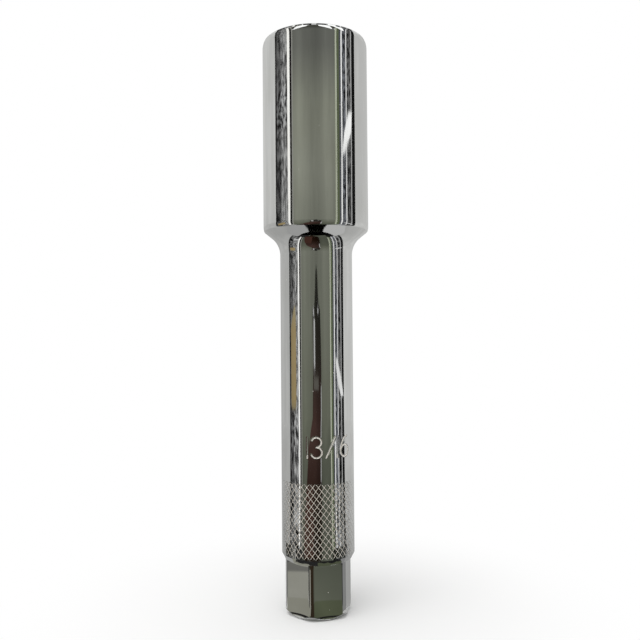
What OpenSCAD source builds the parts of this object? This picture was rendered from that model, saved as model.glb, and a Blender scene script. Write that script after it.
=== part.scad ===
// Long spark plug socket: a turned and chromed steel body that stands on its drive end, mouth up,
// with a rubber sleeve behind the plug hex. Millimetres, Z along the axis, the size stamp and one
// flat of each hex towards -Y. The origin is the centre of the drive end face.

/* [Overall] */
// Length from the drive end face to the rim of the mouth
total_len = 150; // [130:0.5:200]

/* [Head] */
// Outside diameter of the head
head_d = 27.8; // [26.6:0.1:32]
// Length of the head from the rim to its lower corner
head_len = 50.2; // [46:0.1:58]
// Radius on the outer edge of the rim
rim_round = 0.9; // [0.3:0.1:1.2]
// Radius on the lower corner of the head
corner_round = 0.6; // [0.2:0.1:1.5]
// Angle of the shoulder cone, measured from the horizontal
shoulder_angle = 39; // [30:1:55]
// Radius of the fillet between the shoulder and the shank
shank_fillet = 6; // [2:0.1:8]

/* [Plug hex] */
// Width across the flats of the plug's hexagon
plug_af = 20.64; // [17:0.01:21]
// Extra width across the flats, so that the socket slips on
plug_clear = 0.15; // [0.05:0.01:0.3]
// Depth of the hexagon from the rim
plug_depth = 18; // [12:0.5:22]
// Width of the flat face between the lead-in cone and the rim's round edge
mouth_land = 0.7; // [0.3:0.1:1]

/* [Seat and terminal bores] */
// Diameter of the bore that holds the rubber sleeve
seat_d = 20.4; // [18.5:0.1:20.6]
// Metal between the seat's floor and the lower corner of the head
seat_floor = 6; // [4:0.1:9]
// Depth of the ring groove that keeps the sleeve in
keeper_depth = 0.8; // [0.4:0.1:1.2]
// Width of that groove along the axis
keeper_w = 3.2; // [2:0.1:4]
// Height of the groove's middle above the seat's floor
keeper_height = 6; // [4:0.1:8]
// Diameter of the bore that clears the plug's terminal
terminal_d = 13; // [11:0.1:14]
// Length of that bore below the seat's floor
terminal_len = 20; // [10:0.5:30]
// Point angle of the drills that leave a blind bore
drill_point = 118; // [90:1:140]

/* [Shank] */
// Diameter of the shank
shank_d = 19.05; // [18.8:0.05:21]

/* [Knurl] */
// Length of the knurled band
knurl_len = 19.4; // [10:0.1:30]
// Height of one diamond along the axis
knurl_pitch = 1.94; // [1.5:0.01:3]
// Diamonds around the band
knurl_starts = 40; // [24:1:48]
// Depth of the V grooves between the diamonds
knurl_depth = 0.25; // [0.15:0.01:0.4]
// Share of a diamond's width that its flat top keeps
knurl_flat = 0.72; // [0.5:0.01:0.85]

/* [Drive end] */
// Width across the flats of the wrench hexagon
wrench_af = 15.875; // [15:0.005:16.2]
// Metal turned off each sharp corner of that hexagon
wrench_corner_cut = 0.36; // [0.2:0.01:0.6]
// Length of the hexagon from the end face
wrench_len = 14.2; // [13:0.1:20]
// Length of the cone between the hexagon and the knurled band
neck_len = 1.4; // [0.4:0.1:2]
// Chamfer around the end face
end_chamfer = 1.3; // [0.6:0.1:1.5]
// Width across the flats of the drive square
square_af = 9.525; // [9:0.005:9.7]
// Extra width across the square's flats
square_clear = 0.13; // [0.05:0.01:0.2]
// Depth of the square from the end face
square_depth = 11.5; // [9:0.1:13]
// Diameter of the lead-in cone of the square at the end face
square_lead_d = 12.2; // [11:0.1:12.6]
// Distance of the detent groove from the end face
detent_height = 5.6; // [4.5:0.1:6.5]
// Radius of the detent groove's round section
detent_round = 1.5; // [1:0.1:1.8]
// Depth of the detent groove in the square's flats
detent_depth = 0.9; // [0.4:0.1:1]

/* [Rubber sleeve] */
// Length of the sleeve
sleeve_len = 16; // [12:0.1:20]
// Diameter of the bore that grips the insulator
sleeve_bore_d = 10.8; // [9.5:0.1:12]
// Diameter of the sleeve's funnel at its mouth
funnel_d = 16.4; // [14:0.1:17]
// Depth of the funnel
funnel_depth = 4; // [2:0.1:6]
// Radius on the outer front edge of the sleeve
sleeve_round = 1.2; // [0.5:0.1:1.5]
// Gap around the sleeve in the seat bore and its groove
sleeve_clear = 0.08; // [0.04:0.01:0.15]

/* [Hidden] */
$fn = 96;

chrome = [0.80, 0.81, 0.80];
rubber = [0.09, 0.09, 0.09];

// How far a cutter runs past the face that it opens
past = 1;

head_r = head_d / 2;
shank_r = shank_d / 2;
head_low = total_len - head_len;

// The shoulder: the cone leaves the head's lower corner and meets the shank in a fillet
cone_cos = cos(shoulder_angle);
cone_sin = sin(shoulder_angle);
cone_low = head_low - (head_r - shank_r) * cone_sin / cone_cos;
fillet_r = shank_r + shank_fillet;
fillet_z = head_low + ((fillet_r - head_r) * cone_sin - shank_fillet) / cone_cos;
corner_set = corner_round * tan((90 - shoulder_angle) / 2);

plug_r = (plug_af + plug_clear) / sqrt(3);
plug_flat_r = (plug_af + plug_clear) / 2;
mouth_r = head_r - rim_round - mouth_land;

seat_r = seat_d / 2;
seat_z = head_low + seat_floor;
keeper_z = seat_z + keeper_height;
terminal_r = terminal_d / 2;
terminal_z = seat_z - terminal_len;
terminal_point = terminal_r / tan(drill_point / 2);

wrench_r = wrench_af / sqrt(3) - wrench_corner_cut;
knurl_low = wrench_len + neck_len;
knurl_rows = max(1, round(knurl_len / knurl_pitch));

// The knurl is a ring of diamonds on a core turned below the grooves, let into a land at each end
knurl_skim = 0.02;
knurl_core_gap = 0.15;
knurl_sink = 0.5;
knurl_let_in = 0.1;
knurl_top_r = shank_r - knurl_skim;
knurl_root_r = shank_r - knurl_depth;
knurl_core_r = knurl_root_r - knurl_core_gap;
knurl_inner_r = knurl_core_r - knurl_sink;
knurl_half_rows = 2 * knurl_rows;

square_w = square_af + square_clear;
square_point = square_w / 2 / tan(drill_point / 2);
square_lead_r = square_lead_d / 2;

sleeve_r = seat_r - sleeve_clear;
sleeve_bore_r = sleeve_bore_d / 2;
funnel_r = funnel_d / 2;

// Outline of the turned blank, radius against height, with its round edges as true arcs
module blank_outline() {
    difference() {
        union() {
            polygon([
                [0, 0],
                [wrench_r - end_chamfer, 0],
                [wrench_r, end_chamfer],
                [wrench_r, wrench_len],
                [shank_r, knurl_low],
                [shank_r, cone_low],
                [head_r - corner_set * cone_cos, head_low - corner_set * cone_sin],
                [head_r - corner_round, head_low + corner_set],
                [head_r, head_low + corner_set],
                [head_r, total_len - rim_round],
                [head_r - rim_round, total_len - rim_round],
                [head_r - rim_round, total_len],
                [0, total_len]
            ]);
            translate([head_r - corner_round, head_low + corner_set])
                circle(r = corner_round);
            translate([head_r - rim_round, total_len - rim_round])
                circle(r = rim_round);
            shoulder_fillet_outline();
        }
        translate([knurl_core_r, knurl_low + knurl_let_in])
            square([shank_r, knurl_len - 2 * knurl_let_in]);
    }
}

// The metal between the shoulder cone, the shank and the fillet's arc
module shoulder_fillet_outline() {
    difference() {
        polygon([
            [shank_r, fillet_z],
            [fillet_r, fillet_z],
            [fillet_r - shank_fillet * cone_sin, fillet_z + shank_fillet * cone_cos],
            [shank_r / 2, fillet_z + shank_fillet * cone_cos],
            [shank_r / 2, fillet_z]
        ]);
        translate([fillet_r, fillet_z])
            circle(r = shank_fillet);
    }
}

// Outline of the bores that are turned from the mouth: lead-in cone, seat, keeper groove, terminal
module bore_outline() {
    polygon([
        [0, total_len + past],
        [mouth_r + past, total_len + past],
        [plug_flat_r / 2, total_len - mouth_r + plug_flat_r / 2],
        [0, total_len - mouth_r + plug_flat_r / 2]
    ]);
    polygon([
        [0, total_len - plug_depth + past],
        [seat_r, total_len - plug_depth + past],
        [seat_r, seat_z],
        [terminal_r, seat_z],
        [terminal_r, terminal_z],
        [0, terminal_z - terminal_point]
    ]);
    translate([0, keeper_z - keeper_w / 2])
        square([seat_r + keeper_depth, keeper_w]);
}

// The six flats of the wrench hexagon, as the ring of metal milled away around them
module wrench_flats() {
    difference() {
        translate([0, 0, -past])
            cylinder(r = shank_r + past, h = wrench_len + past);
        translate([0, 0, -2 * past])
            cylinder(r = wrench_af / sqrt(3), h = wrench_len + 4 * past, $fn = 6);
    }
}

// The drive square with its lead-in cone, pilot drill point and detent groove
module drive_square() {
    translate([-square_w / 2, -square_w / 2, -past])
        cube([square_w, square_w, square_depth + past]);
    rotate_extrude()
        union() {
            polygon([
                [0, -past],
                [square_lead_r + past, -past],
                [0, square_lead_r]
            ]);
            polygon([
                [0, square_depth - past],
                [square_w / 2, square_depth - past],
                [square_w / 2, square_depth],
                [0, square_depth + square_point]
            ]);
        }
    rotate_extrude()
        translate([square_w / 2 + detent_depth - detent_round, detent_height])
            circle(r = detent_round);
}

// A point of the knurl: column and row count half diamonds, column 0 faces -Y
function knurl_point(radius, column, row) =
    let (turn = column * 180 / knurl_starts)
    [
        radius * sin(turn),
        -radius * cos(turn),
        knurl_low + knurl_len * row / knurl_half_rows
    ];

// The diamonds' columns alternate from row to row, and the groove crossings lie between them
function diamond_column(k, row) = 2 * k + row % 2;
function crossing_column(k, row) = 2 * k + 1 - row % 2;

// The knurled ring: flat topped diamonds between two crossing sets of V grooves
module knurl_ring() {
    n = knurl_starts;
    last = knurl_half_rows;
    layer = n * (last + 1);
    crossings = [for (row = [0:last], k = [0:n - 1])
        knurl_point(knurl_root_r, crossing_column(k, row), row)];
    tops = [for (side = [[-1, 0], [1, 0], [0, -1], [0, 1]], row = [0:last], k = [0:n - 1])
        knurl_point(
            knurl_top_r,
            diamond_column(k, row) + knurl_flat * side[0],
            min(max(row + knurl_flat * side[1], 0), last)
        )];
    inner = [for (row = [0, last], k = [0:n - 1])
        knurl_point(knurl_inner_r, crossing_column(k, row), row)];

    // Index of a crossing by its column and row, and of a diamond's four top points
    function crossing(column, row) = n * row + floor(((column + 2 * n) % (2 * n)) / 2);
    function top(side, k, row) = layer * (1 + side) + n * row + k;
    function inside(end, k) = 5 * layer + n * end + (k + n) % n;

    flats = [for (row = [0:last], k = [0:n - 1])
        let (
            left = top(0, k, row),
            right = top(1, k, row),
            low = top(2, k, row),
            high = top(3, k, row)
        )
        each (
            row == 0 ? [[left, high, right]]
            : row == last ? [[left, right, low]]
            : [[left, high, low], [low, high, right]]
        )];
    slopes = [for (row = [0:last], k = [0:n - 1])
        let (
            column = diamond_column(k, row),
            left = crossing(column - 1, row),
            right = crossing(column + 1, row),
            low = row > 0 ? crossing(column, row - 1) : 0,
            high = row < last ? crossing(column, row + 1) : 0,
            below = row == 0 ? [] : [
                [left, top(0, k, row), low],
                [low, top(0, k, row), top(2, k, row)],
                [low, top(2, k, row), right],
                [right, top(2, k, row), top(1, k, row)]
            ],
            above = row == last ? [] : [
                [right, top(1, k, row), high],
                [high, top(1, k, row), top(3, k, row)],
                [high, top(3, k, row), left],
                [left, top(3, k, row), top(0, k, row)]
            ]
        )
        each concat(below, above)];
    caps = [for (k = [0:n - 1])
        let (column = diamond_column(k, 0))
        each [
            [
                inside(0, k - 1), crossing(column - 1, 0), top(0, k, 0),
                top(1, k, 0), crossing(column + 1, 0), inside(0, k)
            ],
            [
                inside(1, k), crossing(column + 1, last), top(1, k, last),
                top(0, k, last), crossing(column - 1, last), inside(1, k - 1)
            ],
            [inside(0, k), inside(1, k), inside(1, k - 1), inside(0, k - 1)]
        ]];
    polyhedron(
        points = concat(crossings, tops, inner),
        faces = concat(flats, slopes, caps)
    );
}

module socket_body() {
    color(chrome)
        union() {
            difference() {
                rotate_extrude()
                    blank_outline();
                wrench_flats();
                drive_square();
                rotate_extrude()
                    bore_outline();
                translate([0, 0, total_len - plug_depth])
                    cylinder(r = plug_r, h = plug_depth + past, $fn = 6);
            }
            knurl_ring();
        }
}

// The sleeve is moulded: funnel, grip bore, a rib that snaps into the keeper groove, round front
module grip_insert() {
    sleeve_high = seat_z + sleeve_len;
    rib_w = keeper_w - 2 * sleeve_clear;
    color(rubber)
        rotate_extrude()
            union() {
                polygon([
                    [sleeve_bore_r, seat_z],
                    [sleeve_r, seat_z],
                    [sleeve_r, sleeve_high - sleeve_round],
                    [sleeve_r - sleeve_round, sleeve_high - sleeve_round],
                    [sleeve_r - sleeve_round, sleeve_high],
                    [funnel_r, sleeve_high],
                    [sleeve_bore_r, sleeve_high - funnel_depth]
                ]);
                translate([sleeve_r - sleeve_round, sleeve_high - sleeve_round])
                    circle(r = sleeve_round);
                translate([sleeve_r - keeper_depth, keeper_z - rib_w / 2])
                    square([2 * keeper_depth, rib_w]);
            }
}

socket_body();
grip_insert();
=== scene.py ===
"""Looks of a long spark plug socket: a chromed steel body with a rubber sleeve in its mouth."""

import math

import bpy
import numpy as np
from mathutils import Matrix, Vector


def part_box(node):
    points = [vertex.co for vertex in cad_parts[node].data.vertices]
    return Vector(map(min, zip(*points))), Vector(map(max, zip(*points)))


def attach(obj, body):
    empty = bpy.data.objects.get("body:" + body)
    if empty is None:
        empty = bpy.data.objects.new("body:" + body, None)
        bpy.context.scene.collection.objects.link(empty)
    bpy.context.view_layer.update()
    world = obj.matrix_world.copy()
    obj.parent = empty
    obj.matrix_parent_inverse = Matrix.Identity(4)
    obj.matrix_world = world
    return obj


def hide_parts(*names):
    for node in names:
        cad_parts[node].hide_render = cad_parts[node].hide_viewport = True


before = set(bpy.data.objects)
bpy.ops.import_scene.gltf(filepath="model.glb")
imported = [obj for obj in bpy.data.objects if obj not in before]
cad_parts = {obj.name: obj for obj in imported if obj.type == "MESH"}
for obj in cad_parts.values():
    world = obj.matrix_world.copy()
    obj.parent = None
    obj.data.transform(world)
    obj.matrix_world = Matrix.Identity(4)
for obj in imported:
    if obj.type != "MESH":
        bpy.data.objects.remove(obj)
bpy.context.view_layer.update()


# THE STEEL BODY
# One bar of steel, turned on a lathe, broached at both ends, rolled with a diamond knurl, stamped
# with its size and then polished and chromed. All of it is one skin, worked out in millimetres from
# the bottom of the drive square, round the outside, over the rim and down to the terminal bore.

MM = 0.001
total_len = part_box("socket_body")[1].z / MM
head_r = 13.9
head_len = 50.2
head_low = total_len - head_len
shank_r = 9.525


def turned(corners, rounds, step=math.radians(8), hold=0.08):
    """Outline of a lathe cut as rows of radius, height and the outward normal's two parts.

    Straight runs join the corners. Each inner corner with a radius is swapped for the arc that
    touches both runs: the normal turns evenly from one run's to the other's, and the arc lies a
    radius along it from a centre on the corner's bisector. A holding row lies on each run beside
    the arc, within the length that the arcs leave free. A corner without a radius stays sharp and
    has no normal of its own.
    """
    corners = np.array(corners, float)
    along = np.diff(corners, axis=0)
    lengths = np.linalg.norm(along, axis=1)
    along /= lengths[:, None]
    normals = np.stack([along[:, 1], -along[:, 0]], axis=1)
    turns = np.arccos(np.clip((along[:-1] * along[1:]).sum(1), -1, 1))
    reaches = np.array(rounds) * np.tan(turns / 2)
    free = lengths - np.concatenate([[0], reaches]) - np.concatenate([reaches, [0]])
    holds = np.minimum(hold, 0.3 * free)
    rows = [np.hstack([corners[0], normals[0]])]
    for i, radius in enumerate(rounds):
        at, turn, reach = corners[i + 1], turns[i], reaches[i]
        if radius == 0:
            rows.append(np.hstack([at, 0, 0]))
            continue
        middle = along[i + 1] - along[i]
        centre = at + middle / np.linalg.norm(middle) * radius / math.cos(turn / 2)
        side = np.sign((at - centre) @ normals[i])
        share = np.linspace(0, 1, max(2, math.ceil(turn / step)) + 1)[:, None]
        facing = np.sin((1 - share) * turn) * normals[i] + np.sin(share * turn) * normals[i + 1]
        facing /= math.sin(turn)
        rows.append(np.hstack([at - along[i] * (reach + holds[i]), normals[i]]))
        rows.extend(np.hstack([centre + side * radius * facing, facing]))
        rows.append(np.hstack([at + along[i + 1] * (reach + holds[i + 1]), normals[i + 1]]))
    rows.append(np.hstack([corners[-1], normals[-1]]))
    return np.array(rows)


def around(radius, turn, height):
    """Points at a radius and height, turned from -Y towards +X."""
    return np.stack(np.broadcast_arrays(radius * np.sin(turn), -radius * np.cos(turn), height), axis=-1)


def band(points, facing=0.0, satin_and_highlight=0.0):
    """Rings of points, with the normals that are known and how far the polish is left off, which also sets
    how much painted highlight the chrome gets.
    """
    return {
        "points": points,
        "facing": np.broadcast_to(facing, points.shape),
        "satin_and_highlight": np.broadcast_to(satin_and_highlight, points.shape[:2]),
        "grooved": False,
    }


def revolved(rows, columns):
    """A lathe outline and its normals carried round the axis in even columns."""
    radius, height, out, up = rows.T[:, :, None]
    turn = np.arange(columns) * 2 * math.pi / columns
    return band(around(radius, turn, height), around(out, turn, up))


def softer_min(a, b, soft):
    """The lesser of two fields, with the crease between them eased over the width soft."""
    share = np.clip(0.5 + 0.5 * (b - a) / soft, 0, 1)
    return b + (a - b) * share - soft * share * (1 - share)


def softer_max(a, b, soft):
    """The greater of two fields, eased in the same way."""
    return -softer_min(-a, -b, soft)


def sector_turns(edge, sides, spread, gather=1.0):
    """Columns for a prism of equal sides, as turns from the middle of a side and whole turns.

    Each half side has even columns up to the crease at the angle edge, close ones across the
    crease and the rest out to the corner. The edge may differ from row to row.
    """
    corner = math.pi / sides
    edge = np.clip(np.atleast_1d(edge), 2 * spread, corner - 2 * spread)[:, None]
    flat = (edge - spread) * np.linspace(0, 1, 6)[1:]
    crease = edge - spread + 2 * spread * np.linspace(0, 1, 5)[1:]
    beyond = 1 - (1 - np.linspace(0, 1, 5)[1:-1]) ** gather
    beyond = edge + spread + (corner - edge - spread) * beyond
    half = np.hstack([flat, crease, beyond])
    zero = np.zeros_like(edge)
    local = np.hstack([-half[:, ::-1], zero, half, zero + corner])
    whole = local[:, None, :] + 2 * corner * np.arange(sides)[None, :, None]
    return np.tile(local, sides), whole.reshape(len(edge), -1)


# The drive square: a blind hole with a drill point, a detent groove and a lead-in cone.
square_half = 9.655 / 2
square_depth = 11.5
square_tip = square_depth + 2.9
square_lead_r = 6.1
detent_z = 5.6
detent_round = 1.5
detent_reach = 0.9


def drive_hole():
    """The hole's wall from its floor down to the end face.

    Its radius is the square's, eased at the corners, or the detent ring's or the lead-in cone's
    where those are wider.
    """
    height = np.concatenate([
        [square_depth - 0.02, square_depth - 0.2, detent_z + detent_round + 0.5],
        detent_z + detent_round * np.linspace(1, -1, 19),
        [square_lead_r - square_half + 0.6],
        np.linspace(square_lead_r - square_half + 0.1, 0.05, 10),
    ])[:, None]
    local, turn = sector_turns(np.full(len(height), math.radians(33)), 4, math.radians(3), 1.6)
    wall = softer_min(square_half / np.cos(local), square_half / np.cos(math.pi / 2 - np.abs(local)), 0.5)
    lift = np.sqrt(np.clip(detent_round**2 - (height - detent_z) ** 2, 0, None))
    groove = np.where(lift > 0, square_half + detent_reach - detent_round + lift, 0)
    radius = softer_max(wall, groove, 0.08)
    radius = softer_max(radius, square_lead_r - height, 0.05)
    wall_points = around(radius, turn, height)
    drill = np.array([[1.0, square_tip - 0.7], [3.0, square_tip - 1.9], [4.5, square_tip - 2.8]])
    floor = around(np.minimum(radius[:1] - 0.12, 4.6), turn[:1], square_depth)
    floor_edge = around(radius[:1] - 0.06, turn[:1], square_depth)
    cone = around(drill[:, :1], turn[:1], drill[:, 1:])
    lip = around(radius[-1:] + np.array([[0.05], [0.15]]), turn[:1], 0.0)
    return band(np.vstack([cone, floor, floor_edge, wall_points, lip]))


# The wrench hexagon: six milled flats on a turned end, so the corners keep strips of the round bar.
wrench_size = 15.875
corner_cut = 0.36
wrench_flat = wrench_size / 2
wrench_r = wrench_size / math.sqrt(3) - corner_cut
wrench_len = 14.2
flat_stop = wrench_len - 0.7
end_chamfer = 1.3
end_r = wrench_r - end_chamfer
neck_top = wrench_len + 1.4


def wrench_end():
    """The end face, its chamfer, the hexagon, the shoulder above the flats and the neck.

    A row's radius is the turned radius or the flat's, whichever is less, with the crease between
    them eased. The columns follow that crease, so that it stays sharp as the chamfer cuts it.
    """
    full = math.acos(wrench_flat / wrench_r)
    cuts = wrench_flat / np.cos(full * np.linspace(0.12, 0.9, 8))
    chamfer = [(r, r - end_r) for r in cuts]
    corners = [(end_r - 0.4, 0), (end_r, 0), *chamfer, (wrench_r, end_chamfer), (wrench_r, flat_stop)]
    rows = turned(corners, [0.15] + [0] * len(chamfer) + [0.25])
    bar, height = rows[:, :1], rows[:, 1:2]
    edge = np.arccos(np.clip(wrench_flat / bar[:, 0], 0, 1))
    local, turn = sector_turns(edge, 6, math.radians(1.2))
    hexagon = around(softer_min(bar, wrench_flat / np.cos(local), 0.07), turn, height)
    on_flat = np.abs(local) < edge[:, None] - math.radians(1.1)
    flat_facing = around(1.0, turn - local, 0.0) * on_flat[..., None]

    rise = np.array([0, 0.03, 0.12, 0.3, 0.6, 0.88, 1.0])[:, None]
    drop = np.array([0.42, 0.2, 0.09, 0.03, 0.012, 0.006, 0])[:, None]
    flat = softer_min(wrench_r, wrench_flat / np.cos(local[-1:]), 0.07)
    shoulder = around(flat + (wrench_r - flat) * rise, turn[-1:], wrench_len - drop)

    cone = [(wrench_r, wrench_len), (shank_r, neck_top), (shank_r, neck_top + 0.12)]
    neck = turned(cone, [0.1], hold=0.03)
    neck[0, 1] += 0.06
    points = np.vstack([hexagon, shoulder, around(neck[:, :1], turn[-1:], neck[:, 1:2])])
    facing = np.zeros_like(points)
    facing[: len(flat_facing)] = flat_facing
    facing[-len(neck) :] = around(neck[:, 2:3], turn[-1:], neck[:, 3:4])
    return band(points, facing)


# The knurl: two sets of rolled V grooves that cross and leave flat topped diamonds.
knurl_low = neck_top
knurl_len = 19.4
knurl_starts = 40
knurl_rows = 10
knurl_depth = 0.17
knurl_twist = -0.0081
groove_lines = np.array([0, 0.105, 0.455, 0.5, 0.545, 0.895])
right_drop = np.array([1, 0, 0, 0, 0, 0])
left_drop = np.array([1, 0, 0, 0.5, 0, 0])
right_wall = np.array([True, False, False, False, False, True])
left_wall = np.array([True, False, True, True, False, True])


def knurl_band():
    """The knurled band on a grid whose two sets of lines run along the grooves.

    A line number gives a helix phase: whole phases are groove bottoms, and six lines span one
    groove and one diamond. A point lies where a helix of phase p crosses one of phase q that
    winds the other way: half their sum is its place around the band, half their difference its
    height, and the deeper of the two grooves sets its radius. The rolls were set a little askew,
    so the band twists with the height, and one roll left a faint second track. Grooves fade out
    at both ends, and a diamond's flat top keeps the normals of the bar.
    """
    per = len(groove_lines)
    line = np.arange(knurl_starts * per)[None, :]
    row = np.arange(2 * knurl_rows * per + 1)[:, None]
    other = line - row
    p = line // per + groove_lines[line % per]
    q = other // per + groove_lines[other % per]
    climb = (p - q) / 2
    ends = np.clip(np.minimum(climb, knurl_rows - climb) / 0.12, 0, 1)
    ends = ends * ends * (3 - 2 * ends)
    drop = np.maximum(right_drop[line % per], left_drop[other % per]) * ends
    height = knurl_low + 0.15 + climb * (knurl_len - 0.3) / knurl_rows
    turn = ((p + q) / 2 + 0.5) * 2 * math.pi / knurl_starts + knurl_twist * (height - knurl_low)
    facing = around(1.0, turn, 0.0) * (drop == 0)[..., None]
    made = band(around(shank_r - knurl_depth * drop, turn, height), facing, drop)
    made["grooved"] = True
    return made


def knurl_faces(rows, lines):
    """Four sided faces between neighbouring helices, halved to triangles along both ends.

    The faces on a groove's walls come first, because they are shaded flat.
    """
    per = len(groove_lines)
    number = np.arange(rows * lines).reshape(rows, lines)
    right = np.roll(number, -1, axis=1)
    cells = np.stack([number[1:-1], number[:-2], right[1:-1], right[2:]], axis=-1)
    line = np.arange(lines)[None, :]
    row = np.arange(1, rows - 1)[:, None]
    wall = right_wall[line % per] | left_wall[(line - row) % per]
    first = np.stack([number[0], right[0], right[1]], axis=-1)
    last = np.stack([number[-1], number[-2], right[-1]], axis=-1)
    return [cells[wall], cells[~wall], first, last]


# The stamp: the plug hexagon's size in inches, struck into the shank in single strokes.
stamp_z = 43.9
stamp_high = 5.15
stamp_reach = stamp_high / 2 + 0.6
stroke_half = 0.22
stroke_deep = 0.15
stamp_turn = math.radians(-3.2)
stamp_places = {"1": (-5.2, 2.86), "3": (-2.8,), "/": (0.95,), "6": (5.2,)}


def stamp_strokes():
    """The strokes as short straight steps: each one's start, its end and how hard it was struck.

    Bowls are arcs of ellipses, given by centre, half width, half height and the angles they run
    between. The other strokes are straight, and an upright one is struck harder towards its foot.
    """
    h = stamp_high

    def arc(x, y, wide, high, start, end):
        """Points at even angles on an ellipse, struck at full force."""
        a = np.radians(np.linspace(start, end, 33))
        return np.stack([x + wide * np.cos(a), y + high * np.sin(a), 0 * a + 1], axis=1)

    def line(start, end, first_force, last_force):
        """Even points on a straight run, with a force that changes evenly along it."""
        return np.linspace([*start, first_force], [*end, last_force], 9)

    glyphs = {
        "1": [line((0, h), (0, 0.2 * h), 0.16, 0.22), line((0, 0.12 * h), (0, 0), 0.9, 1.0)],
        "3": [arc(0, 0.76 * h, 1.25, 0.24 * h, 155, -90), arc(0, 0.26 * h, 1.40, 0.26 * h, 90, -155)],
        "/": [line((-1.25, 0), (1.25, h), 1.0, 0.8)],
        "6": [arc(0, 0.29 * h, 1.35, 0.29 * h, 0, 360), arc(1.05, 0.29 * h, 2.40, 0.71 * h, 180, 95)],
    }
    strokes = [
        stroke + [place, -h / 2, 0]
        for glyph, places in stamp_places.items()
        for place in places
        for stroke in glyphs[glyph]
    ]
    start = np.vstack([stroke[:-1] for stroke in strokes])
    end = np.vstack([stroke[1:] for stroke in strokes])
    return start[:, :2], end[:, :2], start[:, 2]


def stamp_depth(x, y):
    """Depth of the struck V at each point, and the distance to the nearest stroke.

    The distance to a step is to its foot on that step, held within its ends. The V falls evenly
    with it, and the deepest stroke counts.
    """
    start, end, force = stamp_strokes()
    run = end - start
    dx = x[..., None] - start[:, 0]
    dy = y[..., None] - start[:, 1]
    foot = np.clip((dx * run[:, 0] + dy * run[:, 1]) / (run**2).sum(1), 0, 1)
    away = np.hypot(dx - foot * run[:, 0], dy - foot * run[:, 1])
    return (np.clip(1 - away / stroke_half, 0, 1) * force).max(-1), away.min(-1)


def stamp_band():
    """The stretch of shank that is struck, with close rows and columns around the stamp.

    A stroke is a V that is deepest along its line, with a low lip pushed up beside it.
    """
    side = math.radians(41)
    close = stamp_turn + np.linspace(-side, side, 228)
    wide = stamp_turn + np.linspace(side, 2 * math.pi - side, 46)[1:-1]
    turn = np.concatenate([close, wide])[None, :]
    height = stamp_z + stamp_reach * np.linspace(-1, 1, 112)[:, None]
    groove, away = stamp_depth((turn - stamp_turn) * shank_r + 0 * height, height - stamp_z + 0 * turn)
    lip = np.exp(-(((away - stroke_half - 0.07) / 0.08) ** 2))
    radius = shank_r - stroke_deep * groove + 0.01 * lip
    facing = around(1.0, turn, 0.0 * height) * (away > stroke_half + 0.35)[..., None]
    return band(around(radius, turn, height), facing, 0.4 + 0.3 * np.clip(1.9 * groove - 0.1, 0, 1))


# The plain stretch of shank between the knurl and the stamp. Narrow gaps beside both are left for
# the strips of triangles that join them to it.
knurl_gap = 0.2
stamp_gap_below = 0.425
stamp_gap_above = 0.225
foot_low = knurl_low + knurl_len + knurl_gap
foot_high = stamp_z - stamp_reach - stamp_gap_below
shank_foot = turned([(shank_r, foot_low), (shank_r, foot_high)], [])


# The shank's upper part, the shoulder, the head and the rim, turned in one pass. The polishing wheel
# has drawn both ends of the head in a little before their corners.
shoulder_rise = math.tan(math.radians(39))
cone_low = head_low - (head_r - shank_r) * shoulder_rise
buff_in = 0.2
corner_low = head_low - buff_in * shoulder_rise
corner_high = corner_low + buff_in / math.tan(math.radians(15))
rim_low = total_len - 1.3
rim_mid = total_len - 0.62
rim_r = head_r - (rim_mid - rim_low) * math.tan(math.radians(14))
face_r = rim_r - (total_len - rim_mid) * math.tan(math.radians(24))
mouth_r = 12.3
head = turned(
    [
        (shank_r, stamp_z + stamp_reach + stamp_gap_above),
        (shank_r, cone_low),
        (head_r - buff_in, corner_low),
        (head_r, corner_high),
        (head_r, rim_low),
        (rim_r, rim_mid),
        (face_r, total_len),
        (mouth_r, total_len),
    ],
    [6.0, 0.5, 4.0, 4.6, 1.0, 0.3],
    step=math.radians(4),
)[:-1]


# The mouth: a lead-in cone that runs into the plug hexagon, and the ledge below it.
plug_flat = 20.79 / 2
plug_depth = 18.0
plug_floor = total_len - plug_depth


def mouth():
    """The lead-in cone and the hexagon's wall down to the ledge.

    The opening's radius is the cone's or the hexagon's, whichever is greater, and the columns
    follow the scalloped crease where they meet. The broached corners are eased.
    """
    bend = np.radians([29, 27, 24, 21, 18, 15, 12, 9, 6, 3.5, 1.5])
    cuts = plug_flat / np.cos(bend)
    cone = [(r, total_len - mouth_r + r) for r in cuts]
    corners = [(mouth_r + 0.25, total_len), (mouth_r, total_len), *cone, (plug_flat - 0.3, total_len - 2.3)]
    rows = turned(corners, [0.12] + [0] * len(cone))
    half_way = total_len - plug_depth / 2
    wall = np.array([[0, total_len - 2.9], [0, half_way], [0, plug_floor + 0.25], [0, plug_floor + 0.06]])
    rows = np.vstack([rows[:, :2], wall])
    cone_r, height = rows[:, :1], rows[:, 1:]
    crease = np.arccos(np.clip(plug_flat / cone_r[:, 0].clip(1), 0, 1))
    edge = np.where(cone_r[:, 0] > plug_flat, crease, 0.1)
    local, turn = sector_turns(edge, 6, math.radians(1.2), 1.5)
    hexagon = softer_min(plug_flat / np.cos(local), plug_flat / np.cos(math.pi / 3 - np.abs(local)), 0.3)
    points = around(softer_max(cone_r + 0 * local, hexagon, 0.08), turn, height)
    ledge = around(hexagon[-1:] - np.array([[0.03], [0.09]]), turn[-1:], plug_floor)
    return band(np.vstack([points, ledge]))


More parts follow.
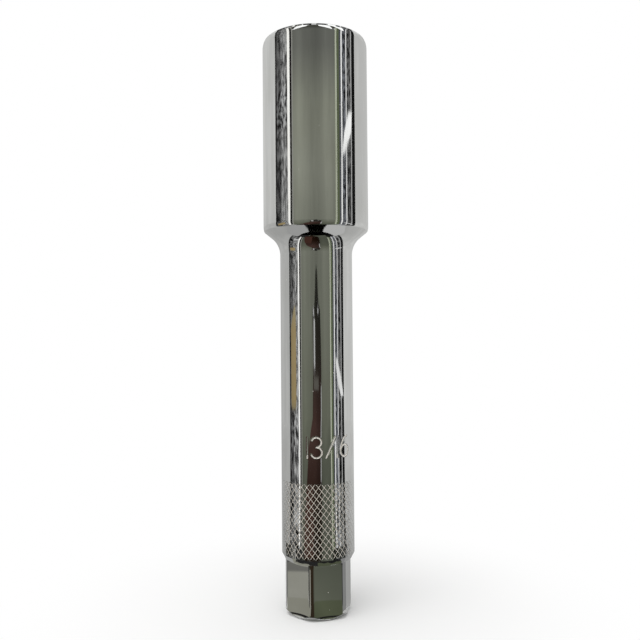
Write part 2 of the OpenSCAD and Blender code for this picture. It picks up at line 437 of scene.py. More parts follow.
# The bores below the ledge: seat with its keeper groove, floor, terminal bore and drill point.
seat_r = 10.2
seat_z = head_low + 6.0
keeper_low = seat_z + 4.4
keeper_high = seat_z + 7.6
keeper_deep = 0.8
terminal_r = 6.5
terminal_z = seat_z - 20.0
terminal_tip = terminal_z - 3.9
seat = turned(
    [
        (seat_r + 0.07, plug_floor),
        (seat_r, plug_floor),
        (seat_r, keeper_high),
        (seat_r + keeper_deep, keeper_high),
        (seat_r + keeper_deep, keeper_low),
        (seat_r, keeper_low),
        (seat_r, seat_z),
        (terminal_r, seat_z),
        (terminal_r, terminal_z),
        (0.6, terminal_tip + 0.35),
    ],
    [0.03, 0.1, 0.1, 0.1, 0.1, 0.1, 0.2, 0.1],
    step=math.radians(30),
)


def ring_faces(rows, columns):
    """Four sided faces of a grid that closes on itself around the axis."""
    number = np.arange(rows * columns).reshape(rows, columns)
    right = np.roll(number, -1, axis=1)
    return np.stack([number[:-1], right[:-1], right[1:], number[1:]], axis=-1).reshape(-1, 4)


def strip_faces(below, above, first_below, first_above):
    """Triangles between two rings of unlike columns, taken in order of their turn round the axis.

    Each column of the ring below makes a triangle with the last column passed above, and each
    column above makes one with the last passed below.
    """
    def in_order(ring, first):
        """A ring's turns from -Y towards +X in rising order, and its point numbers in that order."""
        turn = np.arctan2(ring[:, 0], -ring[:, 1]) % (2 * math.pi)
        order = np.argsort(turn)
        return turn[order], first + order

    turn_a, a = in_order(below, first_below)
    turn_b, b = in_order(above, first_above)
    passed_b = np.searchsorted(turn_b, turn_a, side="left") - 1
    passed_a = np.searchsorted(turn_a, turn_b, side="right") - 1
    low = np.stack([np.roll(a, 1), a, b[passed_b]], axis=1)
    high = np.stack([a[passed_a], b, np.roll(b, 1)], axis=1)
    return np.vstack([low, high])


def stitched(bands, first_pole, last_pole):
    """One closed skin from bands of rings: strips join the bands and fans close both poles.

    Blocks of faces come with a mark for flat shading, and points with normals and with the satin mark,
    which also carries the painted highlight.
    """
    blocks = []
    count = 1
    before = None
    for made in bands:
        rows, columns = made["points"].shape[:2]
        if made["grooved"]:
            walls, *others = knurl_faces(rows, columns)
            blocks.append((walls + count, False))
            blocks.extend((faces + count, True) for faces in others)
        else:
            blocks.append((ring_faces(rows, columns) + count, True))
        ring = count + np.arange(columns)
        if before is None:
            fan = np.stack([np.zeros(columns, int), ring, np.roll(ring, -1)], axis=1)
            blocks.append((fan, True))
        else:
            last = before["points"][-1]
            blocks.append((strip_faces(last, made["points"][0], count - len(last), count), True))
        count += rows * columns
        before = made
    ring = count - columns + np.arange(columns)
    fan = np.stack([ring, np.roll(ring, -1), np.full(columns, count)], axis=1)
    blocks.append((fan, True))
    points = np.vstack([[first_pole], *(made["points"].reshape(-1, 3) for made in bands), [last_pole]])
    none = np.zeros((1, 3))
    facing = np.vstack([none, *(made["facing"].reshape(-1, 3) for made in bands), none])
    satin_and_highlight = np.concatenate([[0], *(made["satin_and_highlight"].ravel() for made in bands), [0]])
    return points, blocks, facing, satin_and_highlight


def piece(name, points, blocks):
    """A mesh object at the origin from points in millimetres and blocks of faces, smooth or flat."""
    mesh = bpy.data.meshes.new(name)
    mesh.from_pydata((points * MM).tolist(), [], [face for faces, _ in blocks for face in faces.tolist()])
    smooth = np.concatenate([np.full(len(faces), rounded) for faces, rounded in blocks])
    mesh.polygons.foreach_set("use_smooth", smooth)
    mesh.update()
    made = bpy.data.objects.new(name, mesh)
    bpy.context.scene.collection.objects.link(made)
    return made


def true_normals(mesh, facing):
    """Gives the points whose normal is known that normal, and leaves the others to the mesh."""
    corners = np.empty(len(mesh.loops), int)
    mesh.loops.foreach_get("vertex_index", corners)
    mesh.normals_split_custom_set(facing[corners].tolist())


bar_columns = 168
bore_columns = 96
skin_points, skin_blocks, skin_facing, skin_satin_and_highlight = stitched(
    [
        drive_hole(),
        wrench_end(),
        knurl_band(),
        revolved(shank_foot, bar_columns),
        stamp_band(),
        revolved(head, bar_columns),
        mouth(),
        revolved(seat, bore_columns),
    ],
    (0, 0, square_tip),
    (0, 0, terminal_tip),
)
steel_body = piece("steel_body", skin_points, skin_blocks)
steel_body.data.attributes.new("satin_and_highlight", "FLOAT", "POINT").data.foreach_set("value", skin_satin_and_highlight)
true_normals(steel_body.data, skin_facing)
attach(steel_body, "root")
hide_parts("socket_body")


def shader_tree(name):
    """A new material with its node tree and its surface shader."""
    made = bpy.data.materials.new(name)
    made.use_nodes = True
    return made, made.node_tree, made.node_tree.nodes["Principled BSDF"]


def add(tree, kind, **settings):
    """A node of that kind with its settings; a setting that names an input fills its socket."""
    made = tree.nodes.new(kind)
    for key, value in settings.items():
        if hasattr(made, key):
            setattr(made, key, value)
        else:
            made.inputs[key.replace("_", " ")].default_value = value
    return made


def chrome_plate():
    """Bright chrome: smudges dull it here and there, and a slow waver bends its mirror lines.

    The satin attribute marks the rolled grooves and struck strokes, which the polishing wheel does not
    reach: they stay rougher and less metallic, as do a few specks in the plate. Their paler colour is
    painted highlight, so that grooves, strokes and specks show as bright lines and dots.
    """
    made, tree, surface = shader_tree("chrome_plate")
    link = tree.links.new
    place = add(tree, "ShaderNodeTexCoord")
    # Pits in the plate join the grooves and strokes: all of them are rougher and duller, and paler by
    # painted highlight.
    pits = add(tree, "ShaderNodeTexVoronoi", Scale=320.0, Randomness=1.0)
    link(place.outputs["Object"], pits.inputs["Vector"])
    speck = add(tree, "ShaderNodeMapRange", From_Min=0.03, From_Max=0.085, To_Min=0.6, To_Max=0.0)
    link(pits.outputs["Distance"], speck.inputs["Value"])
    unpolished_and_highlight = add(tree, "ShaderNodeAttribute", attribute_name="satin_and_highlight")
    coarse_and_highlight = add(tree, "ShaderNodeMath", operation="MAXIMUM")
    link(unpolished_and_highlight.outputs["Fac"], coarse_and_highlight.inputs[0])
    link(speck.outputs["Result"], coarse_and_highlight.inputs[1])
    satin_and_highlight = add(tree, "ShaderNodeMapRange", From_Min=0.4, From_Max=0.75)
    link(coarse_and_highlight.outputs[0], satin_and_highlight.inputs["Value"])
    smudge = add(tree, "ShaderNodeTexNoise", Scale=55.0, Detail=5.0, Roughness=0.62)
    link(place.outputs["Object"], smudge.inputs["Vector"])

    gloss = add(tree, "ShaderNodeMapRange", From_Min=0.42, From_Max=0.72, To_Min=0.03, To_Max=0.085)
    link(smudge.outputs["Fac"], gloss.inputs["Value"])
    rough = add(tree, "ShaderNodeMapRange", To_Max=0.34)
    link(satin_and_highlight.outputs["Result"], rough.inputs["Value"])
    link(gloss.outputs["Result"], rough.inputs["To Min"])
    link(rough.outputs["Result"], surface.inputs["Roughness"])

    tint = add(tree, "ShaderNodeValToRGB")
    tint.color_ramp.elements[0].position = 0.40
    tint.color_ramp.elements[0].color = (0.565, 0.570, 0.565, 1)
    tint.color_ramp.elements[1].position = 0.75
    tint.color_ramp.elements[1].color = (0.525, 0.527, 0.515, 1)
    link(smudge.outputs["Fac"], tint.inputs["Fac"])
    # Painted highlight: the satin mark mixes a pale colour into the chrome.
    pale = add(tree, "ShaderNodeMix", data_type="RGBA")
    pale.inputs["B"].default_value = (0.93, 0.87, 0.79, 1)
    link(satin_and_highlight.outputs["Result"], pale.inputs["Factor"])
    link(tint.outputs["Color"], pale.inputs["A"])
    link(pale.outputs["Result"], surface.inputs["Base Color"])

    waver = add(tree, "ShaderNodeTexNoise", Scale=60.0, Detail=0.5)
    link(place.outputs["Object"], waver.inputs["Vector"])
    wave = add(tree, "ShaderNodeBump", Strength=1.0, Distance=0.000022)
    link(waver.outputs["Fac"], wave.inputs["Height"])
    link(wave.outputs["Normal"], surface.inputs["Normal"])
    dull = add(tree, "ShaderNodeMapRange", To_Min=1.0, To_Max=0.3)
    link(satin_and_highlight.outputs["Result"], dull.inputs["Value"])
    link(dull.outputs["Result"], surface.inputs["Metallic"])
    return made


steel_body.data.materials.append(chrome_plate())


# THE RUBBER SLEEVE
# A moulded black rubber sleeve pushed into the seat bore behind the plug hexagon. A rib round its
# middle snaps into the keeper groove, its funnel guides the insulator and its bore grips it.

sleeve_gap = 0.08
sleeve_r = seat_r - sleeve_gap
sleeve_top = seat_z + 16.0
rib_low = keeper_low + sleeve_gap
rib_high = keeper_high - sleeve_gap
funnel_r = 8.2
funnel_low = sleeve_top - 4.0
grip_r = 5.4
grip_deep = 0.28
grip_pitch = 1.86
sleeve_columns = 128


def sleeve_outline():
    """The sleeve's section as a closed run of rows: up the outside, down the funnel and the bore.

    The bore carries shallow rounded grip rings, a cosine wave of the height cut into its wall.
    """
    outside = turned(
        [
            (grip_r + 0.3, seat_z),
            (sleeve_r, seat_z),
            (sleeve_r, rib_low),
            (sleeve_r + keeper_deep, rib_low),
            (sleeve_r + keeper_deep, rib_high),
            (sleeve_r, rib_high),
            (sleeve_r, sleeve_top),
            (funnel_r, sleeve_top),
            (grip_r, funnel_low),
            (grip_r, funnel_low - 0.4),
        ],
        [0.3, 0.2, 0.3, 0.3, 0.2, 1.2, 0.4, 1.0],
        step=math.radians(12),
    )
    height = np.linspace(funnel_low - 0.9, seat_z + 0.4, 64)
    wave = (1 - np.cos((height - height[0]) * 2 * math.pi / grip_pitch)) / 2
    bore = np.stack([grip_r + grip_deep * wave, height, 0 * wave, 0 * wave], axis=1)
    return np.vstack([outside, bore])


def ring_shell(rows, columns):
    """A closed outline carried round the axis, its last row joined back to its first."""
    points = revolved(rows, columns)["points"]
    number = np.arange(len(rows) * columns).reshape(len(rows), columns)
    right = np.roll(number, -1, axis=1)
    after = np.roll(number, -1, axis=0)
    corner = np.roll(right, -1, axis=0)
    faces = np.stack([number, right, corner, after], axis=-1).reshape(-1, 4)
    return points.reshape(-1, 3), [(faces, True)]


rubber_sleeve = piece("rubber_sleeve", *ring_shell(sleeve_outline(), sleeve_columns))
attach(rubber_sleeve, "root")
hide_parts("grip_insert")


def grip_rubber():
    """Matt black rubber with a fine moulded grain and a trace of pale dust."""
    made, tree, surface = shader_tree("grip_rubber")
    link = tree.links.new
    place = add(tree, "ShaderNodeTexCoord")
    dust = add(tree, "ShaderNodeTexNoise", Scale=240.0, Detail=6.0, Roughness=0.7)
    link(place.outputs["Object"], dust.inputs["Vector"])
    tone = add(tree, "ShaderNodeValToRGB")
    tone.color_ramp.elements[0].position = 0.45
    tone.color_ramp.elements[0].color = (0.016, 0.016, 0.017, 1)
    tone.color_ramp.elements[1].position = 0.80
    tone.color_ramp.elements[1].color = (0.052, 0.050, 0.047, 1)
    link(dust.outputs["Fac"], tone.inputs["Fac"])
    link(tone.outputs["Color"], surface.inputs["Base Color"])
    gloss = add(tree, "ShaderNodeMapRange", To_Min=0.50, To_Max=0.78)
    link(dust.outputs["Fac"], gloss.inputs["Value"])
    link(gloss.outputs["Result"], surface.inputs["Roughness"])
    grain = add(tree, "ShaderNodeTexNoise", Scale=2600.0, Detail=2.0)
    link(place.outputs["Object"], grain.inputs["Vector"])
    bump = add(tree, "ShaderNodeBump", Strength=0.5, Distance=0.00006)
    link(grain.outputs["Fac"], bump.inputs["Height"])
    link(bump.outputs["Normal"], surface.inputs["Normal"])
    return made


rubber_sleeve.data.materials.append(grip_rubber())


# THE STAGE
# A pale floor that fades into a white world, one soft lamp, and a ring of cards round the socket.
# Only mirrors see the cards, which give the chrome its dark bands and bright lines.

camera_turn = math.radians(-18.55)
camera_away = 0.188686
camera_climb = 0.02416
camera_roll = -0.00782
camera_side = 0.000899
camera_height = 0.0762445
focal_pixels = 710.41
picture_pixels = 640


def photo_camera():
    """A camera on the photo's sight line: it looks slightly up at a point near the socket's axis."""
    data = bpy.data.cameras.new("camera")
    data.sensor_width = 36.0
    data.lens = focal_pixels / picture_pixels * data.sensor_width
    data.clip_start = 0.01
    made = bpy.data.objects.new("camera", data)
    bpy.context.scene.collection.objects.link(made)
    across = Vector((math.cos(camera_turn), math.sin(camera_turn), 0))
    level = Vector((-math.sin(camera_turn), math.cos(camera_turn), 0))
    ahead = level * math.cos(camera_climb) + Vector((0, 0, math.sin(camera_climb)))
    up = across.cross(ahead)
    right = across * math.cos(camera_roll) + up * math.sin(camera_roll)
    top = up * math.cos(camera_roll) - across * math.sin(camera_roll)
    turn = Matrix((right, top, -ahead)).transposed().to_4x4()
    spot = across * camera_side + Vector((0, 0, camera_height)) - ahead * camera_away
    made.matrix_world = Matrix.Translation(spot) @ turn
    bpy.context.scene.camera = made


photo_camera()


def white_world():
    """A white world: camera, mirrors and glass see plain white, other rays a little less light."""
    world = bpy.data.worlds.new("white_world")
    bpy.context.scene.world = world
    world.use_nodes = True
    tree = world.node_tree
    ground = tree.nodes["Background"]
    ground.inputs["Color"].default_value = (1, 1, 1, 1)
    path = add(tree, "ShaderNodeLightPath")
    seen = add(tree, "ShaderNodeMath", operation="MAXIMUM")
    tree.links.new(path.outputs["Is Camera Ray"], seen.inputs[0])
    tree.links.new(path.outputs["Is Glossy Ray"], seen.inputs[1])
    shown = add(tree, "ShaderNodeMath", operation="MAXIMUM")
    tree.links.new(seen.outputs[0], shown.inputs[0])
    tree.links.new(path.outputs["Is Transmission Ray"], shown.inputs[1])
    level = add(tree, "ShaderNodeMapRange", To_Min=0.72, To_Max=1.0)
    tree.links.new(shown.outputs[0], level.inputs["Value"])
    tree.links.new(level.outputs["Result"], ground.inputs["Strength"])


white_world()


def pale_floor():
    """A round floor that shows its own shading near the socket and plain white further out."""
    columns = 96
    turn = np.arange(columns) * 2 * math.pi / columns
    radius = np.array([[0.02], [0.06], [0.15], [0.4], [1.2], [4.0]])
    points = np.vstack([[[0, 0, 0]], around(radius, turn, 0.0).reshape(-1, 3)])
    ring = 1 + np.arange(columns)
    fan = np.stack([np.zeros(columns, int), ring, np.roll(ring, -1)], axis=1)
    rings = ring_faces(len(radius), columns)[:, ::-1] + 1
    floor = piece("pale_floor", points / MM, [(fan, True), (rings, True)])
    made, tree, surface = shader_tree("pale_floor")
    surface.inputs["Base Color"].default_value = (0.90, 0.90, 0.895, 1)
    surface.inputs["Roughness"].default_value = 0.9
    surface.inputs["Specular IOR Level"].default_value = 0.0
    glow = add(tree, "ShaderNodeEmission")
    place = add(tree, "ShaderNodeTexCoord")
    length = add(tree, "ShaderNodeVectorMath", operation="LENGTH")
    tree.links.new(place.outputs["Object"], length.inputs[0])
    fade = add(tree, "ShaderNodeMapRange", From_Min=0.012, From_Max=0.085, interpolation_type="SMOOTHSTEP")
    tree.links.new(length.outputs["Value"], fade.inputs["Value"])
    mix = add(tree, "ShaderNodeMixShader")
    tree.links.new(fade.outputs["Result"], mix.inputs["Fac"])
    tree.links.new(surface.outputs["BSDF"], mix.inputs[1])
    tree.links.new(glow.outputs["Emission"], mix.inputs[2])
    tree.links.new(mix.outputs["Shader"], tree.nodes["Material Output"].inputs["Surface"])
    floor.data.materials.append(made)


pale_floor()


# The cards stand round the socket. A card's turn is counted in degrees from the camera towards its
# right, and its reach in millimetres out along the floor to the wall, up the wall and over the top.
wall_away = 450.0
bend_radii = np.array([0, wall_away, wall_away, 300, 120])
bend_heights = np.array([0, 0, 490, 892, 900])
bend_reaches = np.concatenate([[0], np.cumsum(np.hypot(np.diff(bend_radii), np.diff(bend_heights)))])
wall_reach, canopy_reach, ceiling_reach = bend_reaches[2:]


def card_glow(name, cloud_size, upright, cloud_low, cloud_high):
    """A card's own light: the colour on its points, times a cloudy level from low to high.

    Upright squeezes the clouds along the height, because a round mirror draws them out that way.
    """
    made = bpy.data.materials.new(name)
    made.use_nodes = True
    tree = made.node_tree
    tree.nodes.remove(tree.nodes["Principled BSDF"])
    glow = add(tree, "ShaderNodeEmission")
    colour = add(tree, "ShaderNodeAttribute", attribute_name="glow")
    tree.links.new(colour.outputs["Color"], glow.inputs["Color"])
    place = add(tree, "ShaderNodeTexCoord")
    squeeze = add(tree, "ShaderNodeMapping")
    squeeze.inputs["Scale"].default_value = (1, 1, upright)
    tree.links.new(place.outputs["Object"], squeeze.inputs["Vector"])
    cloud = add(tree, "ShaderNodeTexNoise", Scale=cloud_size, Detail=5.0, Roughness=0.7)
    tree.links.new(squeeze.outputs["Vector"], cloud.inputs["Vector"])
    level = add(tree, "ShaderNodeMapRange", From_Min=0.45, From_Max=0.57)
    level.inputs["To Min"].default_value = cloud_low
    level.inputs["To Max"].default_value = cloud_high
    tree.links.new(cloud.outputs["Fac"], level.inputs["Value"])
    tree.links.new(level.outputs["Result"], glow.inputs["Strength"])
    tree.links.new(glow.outputs["Emission"], tree.nodes["Material Output"].inputs["Surface"])
    return made


even_glow = card_glow("even_glow", 6.0, 1.0, 0.95, 1.05)
mottled_glow = card_glow("mottled_glow", 22.0, 10.0, 0.0, 2.6)


def mirror_only(made):
    """Hides a stage piece from everything but mirrors."""
    made.visible_camera = False
    made.visible_diffuse = False
    made.visible_shadow = False
    made.visible_transmission = False


no_fade = ((0,), (1,))


def card(name, reaches, spans, colours, across=no_fade, lift=0.3, glow=even_glow):
    """A glowing strip of the surround that only mirrors see.

    At each reach it has a span of turns and a colour, and both change evenly to the next. Across
    gives levels at some turns, which the colour is multiplied by. Lift brings it off the wall.
    """
    fine = np.unique(np.concatenate([bend_reaches, np.linspace(0, ceiling_reach, 90), reaches]))
    fine = fine[(fine >= reaches[0]) & (fine <= reaches[-1])]
    spans = np.broadcast_to(np.array(spans, float), (len(reaches), 2))
    start, end = (np.interp(fine, reaches, side)[:, None] for side in spans.T)
    turn = start + (end - start) * np.linspace(0, 1, 41)
    radius = np.interp(fine, bend_reaches, bend_radii) - lift * (fine >= wall_away)
    height = np.interp(fine, bend_reaches, bend_heights) + lift * (fine <= wall_away)
    points = around(radius[:, None], np.radians(turn) + camera_turn, height[:, None])
    number = np.arange(turn.size).reshape(turn.shape)
    faces = np.stack([number[:-1, :-1], number[:-1, 1:], number[1:, 1:], number[1:, :-1]], axis=-1)
    made = piece("card_" + name, points.reshape(-1, 3), [(faces.reshape(-1, 4), True)])
    colours = np.broadcast_to(np.array(colours, float), (len(reaches), 3))
    tone = np.stack([np.interp(fine, reaches, part) for part in colours.T], axis=-1)[:, None, :]
    tone = tone * np.interp(turn, *across)[..., None]
    tone = np.concatenate([tone, np.ones_like(tone[..., :1])], axis=-1)
    made.data.color_attributes.new("glow", "FLOAT_COLOR", "POINT").data.foreach_set("color", tone.ravel())
    made.data.materials.append(glow)
    mirror_only(made)


def grey(level):
    """A colour without hue."""
    return (level, level, level)


# Narrow bright strips and dark flags stand upright on both sides.
strips = {
    "left_flag": ((-94.6, -90), grey(0.02), even_glow),
    "left_dim": ((-90, -77), grey(0.12), mottled_glow),
    "left_haze": ((-77, -60), grey(0.30), mottled_glow),
    "left_gap": ((-55, -50.5), grey(0.012), even_glow),
    "left_edge": ((-50.5, -47.8), (0.46, 0.46, 0.42), even_glow),
    "pale_line": ((45, 48.2), (0.66, 0.70, 0.54), even_glow),
    "green_edge": ((48.5, 54), (0.15, 0.18, 0.10), even_glow),
    "slate": ((54, 58.5), (0.12, 0.125, 0.14), even_glow),
    "right_line": ((58.5, 61.5), grey(1.35), even_glow),
    "right_slate": ((61.5, 70.5), (0.12, 0.125, 0.14), mottled_glow),
    "right_thread": ((70.5, 73), grey(1.15), even_glow),
    "right_dim": ((73, 84), grey(0.10), mottled_glow),
    "right_glint": ((84, 86.5), grey(0.70), even_glow),
    "right_flag": ((86.5, 96), grey(0.012), even_glow),
}
strip_reaches = [70, wall_away, 560, 680, 780, 892, 970, 1049, canopy_reach]
right_lean = np.array([-3.0, -3.0, -2.5, -1.2, -1.2, -1.2, -1.2, -1.2, -1.2])[:, None]
spread = np.array([1, 1, 1, 1, 1, 1.07, 1.15, 1.3, 1.3])[:, None]
for strip_name, (strip_span, strip_colour, strip_glow) in strips.items():
    strip_spans = (np.array(strip_span) + right_lean * (strip_span[0] > 0)) * spread
    card(strip_name, strip_reaches, strip_spans, strip_colour, glow=strip_glow)
left_spans = np.array([(-58.6, -55)] * 3 + [(-60.8, -55)] * 6) * spread
card("left_strip", strip_reaches, left_spans, (1.65, 1.63, 1.58), lift=1.0)

# Low cards lie round the foot. The hexagon's flats mirror them pale on the left and olive on the
# right, and the creases between the flats mirror the dark ones. The two outer dark ones turn grey
# towards the sides, so that a flat seen from elsewhere mirrors them less black.
foot_reach = 8.9
card(
    "pale_foot",
    [foot_reach, 12, 14, 17, 20, 21, 28, 41, 43, 70],
    [
        (-85, -14),
        (-84, -24),
        (-84, -26),
        (-95, -28),
        (-95, -56),
        (-79, -56),
        (-81, -62),
        (-84, -67),
        (-84, -67),
        (-90, -74),
    ],
    [(0.39, 0.385, 0.325)] * 5 + [(0.445, 0.44, 0.385)] * 3 + [(0.23, 0.227, 0.21)] * 2,
)
left_fade = ((-112, -99, -89), (0.50, 0.18, 0.02))
right_fade = ((47, 57, 70, 84), (0.03, 0.12, 0.33, 0.43))
crease_tones = [grey(1)] * 3 + [grey(0.05)] * 2
foot_cards = {
    "left_crease": (
        [19.5, 28, 48, 53, 70],
        [(-96, -79), (-112, -81), (-116, -85), (-116, -86), (-116, -88)],
        crease_tones,
        left_fade,
    ),
    "middle_crease": (
        [17, 28, 48, 70],
        [(-40, -26), (-62, -28), (-68, -30), (-72, -42)],
        grey(0.03),
        no_fade,
    ),
    "corner_strip": (
        [12, 14, 28, 48],
        [(-23, -17), (-26, -18.5), (-28, -22.5), (-30, -24.5)],
        (0.40, 0.39, 0.34),
        no_fade,
    ),
    "right_crease": (
        [16.6, 28, 48, 53, 70],
        [(44, 63), (42, 77), (41, 82), (42, 85), (45, 97)],
        crease_tones,
        right_fade,
    ),
    "right_foot": (
        [12, 17, 28, 48, 70],
        [(49, 100), (49, 100), (77, 100), (82, 100), (97, 100)],
        grey(0.35),
        no_fade,
    ),
}
for foot_name, (foot_reaches, foot_spans, foot_colours, foot_fade) in foot_cards.items():
    card(foot_name, foot_reaches, foot_spans, foot_colours, across=foot_fade, lift=0.4)
card("foot_shadow", [foot_reach, foot_reach + 1], (-100, 60), grey(0.02), lift=0.5)

# An olive wall fills the middle, brightest at half height and in two soft upright bands.
card(
    "olive_wall",
    [foot_reach, 21, 22, 70, 160, wall_away, 500, 590, 670, 725, 775, 940],
    [(-30, 50)] * 3 + [(-49.8, 45)] * 9,
    [
        (0.12, 0.135, 0.085),
        (0.12, 0.135, 0.085),
        (0.152, 0.163, 0.126),
        (0.105, 0.113, 0.087),
        (0.12, 0.13, 0.10),
        (0.185, 0.195, 0.15),
        (0.21, 0.22, 0.175),
        (0.245, 0.255, 0.21),
        (0.35, 0.36, 0.30),
        (0.325, 0.335, 0.275),
        (0.195, 0.20, 0.178),
        (0.165, 0.168, 0.156),
    ],
    across=((-50, -38, -8, 4, 24, 44), (1.05, 1.25, 0.90, 0.86, 1.12, 0.95)),
    lift=0.15,
)

# Over the wall stand three lamps with dark gaps between them, and over those a dark ceiling.
lamps = {
    "left": [(-49, -47), (-49, -20), (-49, -18)],
    "right": [(39, 41), (11, 41), (9, 41)],
    "far_right": [(66, 70), (52, 76), (52, 78)],
}
for lamp_name, lamp_spans in lamps.items():
    card("lamp_" + lamp_name, [890, 1055, canopy_reach], lamp_spans, grey(1.8), lift=2.0)
card("canopy_gap", [wall_reach, canopy_reach], (-97, 97), (0.10, 0.10, 0.085), lift=-2.0)
card("dark_ceiling_left", [canopy_reach, ceiling_reach], (-110, -12), grey(0.01))
card("dark_ceiling_right", [canopy_reach, ceiling_reach], (9, 110), grey(0.01))

# A dark stand runs from the foot out over the floor and ends in a point part of the way up the wall.
# Its left side is the redder one, and a few bright lines and a paler patch lie on it.
card(
    "dark_stand",
    [foot_reach, 13, 28, 48, 60, 100, 160, 300, 386, wall_away, 500, 546, 549, 560, 578, 584],
    [
        (-14.5, -4),
        (-18, -3),
        (-22.5, -11),
        (-24.5, -12),
        (-42, 10),
        (-40, 12),
        (-34, 13),
        (-26, 12),
        (-19, 13),
        (-14, 13.5),
        (-11, 13.5),
        (-12.5, 11),
        (-7, 7),
        (-4.7, 4.7),
        (-3, 3),
        (-0.5, 0.5),
    ],
    [(0.045, 0.032, 0.02)] * 4
    + [(0.016, 0.007, 0.004), (0.020, 0.009, 0.005), (0.045, 0.025, 0.019)]
    + [(0.09, 0.05, 0.042)] * 2
    + [(0.08, 0.045, 0.037)]
    + [(0.05, 0.042, 0.034)]
    + [(0.035, 0.034, 0.028)] * 5,
    across=((-30, -6, 2, 12), (1.0, 0.95, 0.72, 0.62)),
    lift=0.4,
)
card("maroon_panel", [60, 100, 170], [(-42, -14), (-40, -13), (-34, -16)], (0.080, 0.036, 0.027), lift=0.8)
card("stand_edge", [180, 386, 480], [(9.5, 11.8), (10.5, 12.5), (12, 13.8)], grey(0.62), lift=1.0)
card("stand_line", [495, 537], (-9.3, -5.0), grey(0.70), lift=1.0)
card("stand_glint", [540, 547], (-11, -7.5), grey(0.62), lift=1.0)
card("stand_spot", [542, 547], (2.5, 6), grey(0.62), lift=1.0)
card("stand_patch", [476, 487], (-9, 5), (0.17, 0.16, 0.14), lift=1.0)

# Further round stand a tan panel on the left and two slanted windows on the right.
card(
    "tan_panel",
    [459, 466, 530, 549],
    [(-86, -70), (-88, -68), (-88, -68), (-75, -70)],
    [(0.36, 0.30, 0.17), (0.46, 0.35, 0.175), (0.48, 0.37, 0.19), (0.46, 0.40, 0.25)],
    lift=1.0,
)
card("side_window", [682, 700, 718], [(60, 66), (65, 83), (77, 86)], grey(1.6), lift=1.0)
card("low_window", [470, 486, 503], [(80, 91), (66, 82), (60, 67)], grey(1.25), lift=1.0)

# Behind the socket floor and wall are pale and fall off to grey, so that the sides keep an outline.
fall_off = ((92, 120, 140, 160, 170, 180), (0.93, 0.91, 0.85, 0.72, 0.60, 0.42))
back_reaches = [9, 100, 300, wall_away, 600, 640, wall_reach]
back_tint = np.array([1.0, 1.0, 0.985])
right_levels = np.array([0.47, 0.78, 0.90, 0.97, 0.97, 0.90, 0.90])[:, None]
left_levels = np.array([0.56, 0.66, 0.72, 0.76, 0.78, 0.96, 0.96])[:, None]
card("back_right", back_reaches, (92, 180), right_levels * back_tint, across=fall_off, lift=0.2)
left_fall_off = (tuple(-turn for turn in reversed(fall_off[0])), fall_off[1][::-1])
card("back_left", back_reaches, (-180, -94.6), left_levels * back_tint, across=left_fall_off, lift=0.2)


def far_glow(name, colour, window):
    """A glow for mirrors between the window's two distances; nearer and further ones look through it."""
    made = bpy.data.materials.new(name)
    made.use_nodes = True
    tree = made.node_tree
    tree.nodes.remove(tree.nodes["Principled BSDF"])
    path = add(tree, "ShaderNodeLightPath")
    within = add(tree, "ShaderNodeMath", operation="COMPARE")
    near, far = window
    within.inputs[1].default_value = (far + near) / 2 * MM
    within.inputs[2].default_value = (far - near) / 2 * MM
    tree.links.new(path.outputs["Ray Length"], within.inputs[0])
    mix = add(tree, "ShaderNodeMixShader")
    glow = add(tree, "ShaderNodeEmission", Color=(*colour, 1))
    tree.links.new(within.outputs[0], mix.inputs["Fac"])
    tree.links.new(add(tree, "ShaderNodeBsdfTransparent").outputs["BSDF"], mix.inputs[1])
    tree.links.new(glow.outputs["Emission"], mix.inputs[2])
    tree.links.new(mix.outputs["Shader"], tree.nodes["Material Output"].inputs["Surface"])
    return made


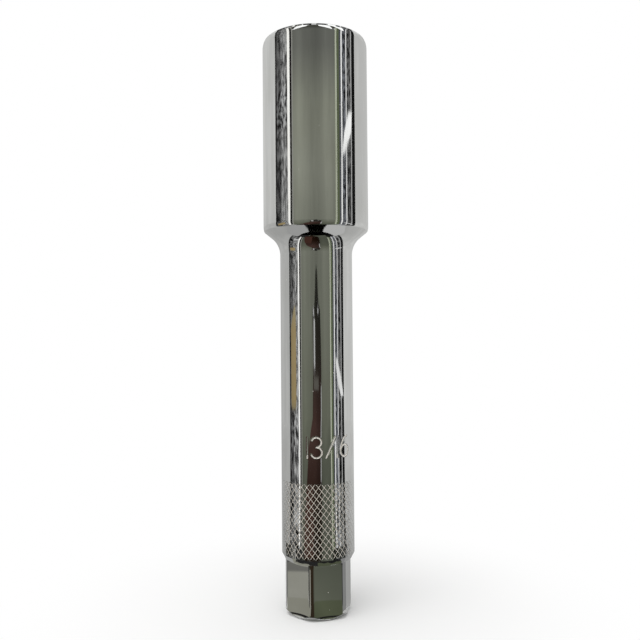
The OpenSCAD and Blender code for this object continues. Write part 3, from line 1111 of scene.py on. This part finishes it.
def collar(name, height, radii, starts, ends, colour, window):
    """A level sheet round the socket between two turns at each radius, for one cone to mirror."""
    start, end = np.radians(starts)[:, None], np.radians(ends)[:, None]
    turn = start + (end - start) * np.linspace(0, 1, 25) + camera_turn
    points = around(np.array(radii)[:, None], turn, height)
    number = np.arange(turn.size).reshape(turn.shape)
    faces = np.stack([number[:-1, :-1], number[1:, :-1], number[1:, 1:], number[:-1, 1:]], axis=-1)
    made = piece("collar_" + name, points.reshape(-1, 3), [(faces.reshape(-1, 4), True)])
    made.data.materials.append(far_glow("collar_" + name, colour, window))
    mirror_only(made)


# A black collar darkens the middle of the shoulder, and a pale one on each side keeps the rest light.
# They lie as high as the camera, so that the upright shank shows them edge on.
camera_level = (camera_height - camera_away * math.sin(camera_climb)) / MM
shoulder_window = (23, 34)
collar_radii = [9.8, 12, 14, 20, 24.5]
collar_edge = np.array([30, 32, 40, 53, 58])
inner = slice(4)
collar(
    "middle",
    camera_level,
    collar_radii[inner],
    -collar_edge[inner],
    collar_edge[inner],
    grey(0),
    shoulder_window,
)
collar("left", camera_level, collar_radii, np.full(5, -130), -collar_edge, grey(0.54), shoulder_window)
collar("right", camera_level, collar_radii, collar_edge, np.full(5, 130), grey(0.74), shoulder_window)

# The neck mirrors three of them on the floor. Over the right flat it is olive with a dark edge on
# top, and over the left one it is dark down to a thin pale lip.
neck_window = (13.5, 19)
collar("neck_low", 0.5, [13, 19.2], [-2, -2], [88, 88], (0.12, 0.135, 0.085), neck_window)
top_radii = [14.1, 14.5, 15.8, 18.5, 19.2]
collar("neck_top", 0.6, top_radii, np.full(5, -14), [8, 31, 62, 88, 88], grey(0.02), neck_window)
left_radii = [13.2, 13.7, 14.1, 14.6, 15.3, 16.6, 17.8, 19.2]
left_starts = [-29, -30, -34, -46, -62, -76, -88, -95]
left_ends = [-2, -2, -2, -2, -20, -50, -66, -80]
collar("neck_left", 0.6, left_radii, left_starts, left_ends, grey(0.03), neck_window)


lamp_aim = Vector((0, 0, 0.07))


def soft_lamp(name, place, size, power):
    """A square lamp that faces the aim near the socket's middle and that no mirror shows."""
    data = bpy.data.lights.new(name, "AREA")
    data.size = size
    data.energy = power
    made = bpy.data.objects.new(name, data)
    bpy.context.scene.collection.objects.link(made)
    made.location = place
    made.rotation_mode = "QUATERNION"
    made.rotation_quaternion = (lamp_aim - Vector(place)).to_track_quat("-Z", "Y")
    made.visible_glossy = False


soft_lamp("top_lamp", (-0.25, -0.20, 0.75), 0.6, 3.0)

view = bpy.context.scene.view_settings
view.view_transform = "Standard"
